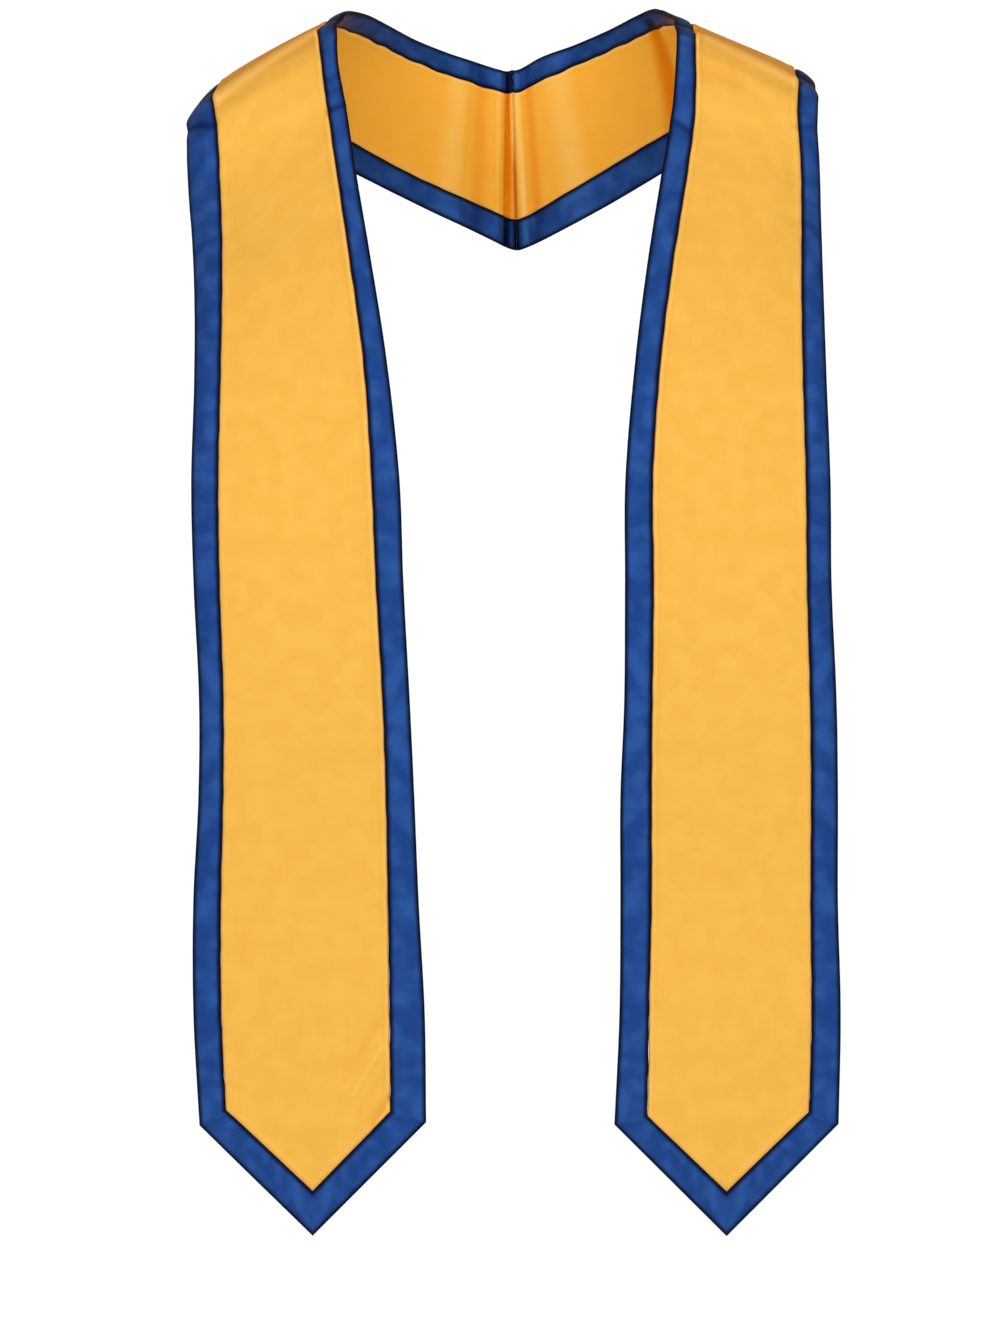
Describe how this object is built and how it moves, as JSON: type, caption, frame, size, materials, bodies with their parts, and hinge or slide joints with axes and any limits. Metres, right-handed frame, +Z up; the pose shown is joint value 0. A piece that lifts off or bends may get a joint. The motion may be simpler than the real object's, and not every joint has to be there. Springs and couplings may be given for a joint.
{
  "type": "graduation stole",
  "caption": "Satin graduation stole in its worn form: a gold band round the neck with blue edging that turns over both shoulders and hangs to two pointed ends.",
  "frame": {"origin": "where the stole sits on the wearer: midway between the shoulder lines, level with their ends beside the neck", "axes": "+X towards the wearer's left, +Y towards the wearer's back, +Z up; the ends hang in front, on the -Y side"},
  "size_m": [0.3896, 0.2163, 0.7415],
  "materials": {
    "gold_satin": "polyester satin, soft gloss",
    "blue_satin": "polyester satin, soft gloss"
  },
  "bodies": {
    "root": {"face_left": "gold_satin", "face_right": "gold_satin", "lining_left": "gold_satin", "lining_right": "gold_satin", "neck_trim_left": "blue_satin", "neck_trim_right": "blue_satin", "outer_trim_left": "blue_satin", "outer_trim_right": "blue_satin", "point_trim_neck_side_left": "blue_satin", "point_trim_neck_side_right": "blue_satin", "point_trim_outer_side_left": "blue_satin", "point_trim_outer_side_right": "blue_satin"}
  },
  "joints": []
}
